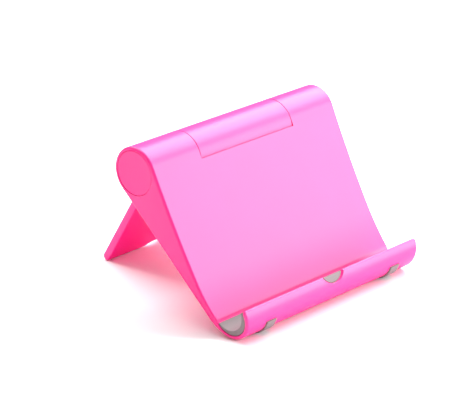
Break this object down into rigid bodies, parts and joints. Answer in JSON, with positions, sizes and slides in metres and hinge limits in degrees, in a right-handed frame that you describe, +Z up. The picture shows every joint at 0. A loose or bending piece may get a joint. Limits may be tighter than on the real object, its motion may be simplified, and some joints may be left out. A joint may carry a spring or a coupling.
{
  "type": "tablet stand",
  "caption": "Folding desk stand: leaning panel with a silicone-lined channel and lip for a phone or tablet, and a flat rear leg on a friction hinge in the panel's barrel.",
  "frame": {"origin": "on the ground, under the middle of the opened stand's bounding box", "axes": "+X across the stand along the hinge, -Y towards the user in front, +Z up"},
  "size_m": [0.0992, 0.0941, 0.0613],
  "materials": {
    "pink_plastic": "satin moulded ABS",
    "grey_silicone": "matt silicone",
    "steel": "zinc plated",
    "nylon": "natural nylon",
    "friction_fibre": "pressed fibre"
  },
  "bodies": {
    "stand": {"front_panel": "pink_plastic", "back_cover_left": "pink_plastic", "back_cover_right": "pink_plastic", "friction_washer_left": "friction_fibre", "friction_washer_right": "friction_fibre", "hinge_bolt": "steel", "flat_washers": "steel", "disc_springs": "steel", "lock_nut": "steel", "end_cap_left": "pink_plastic", "end_cap_right": "pink_plastic", "channel_liner": "grey_silicone", "front_foot_left": "grey_silicone", "front_foot_right": "grey_silicone"},
    "leg": {"kickstand_leg": "pink_plastic", "leg_hub_left": "nylon", "leg_hub_right": "nylon"}
  },
  "joints": [
    {"name": "leg_hinge", "type": "hinge", "parent": "stand", "child": "leg", "pos_m": [0, 0.00581, 0.05156], "axis": [1, 0, 0], "range_deg": [-74.5, 145]}
  ]
}
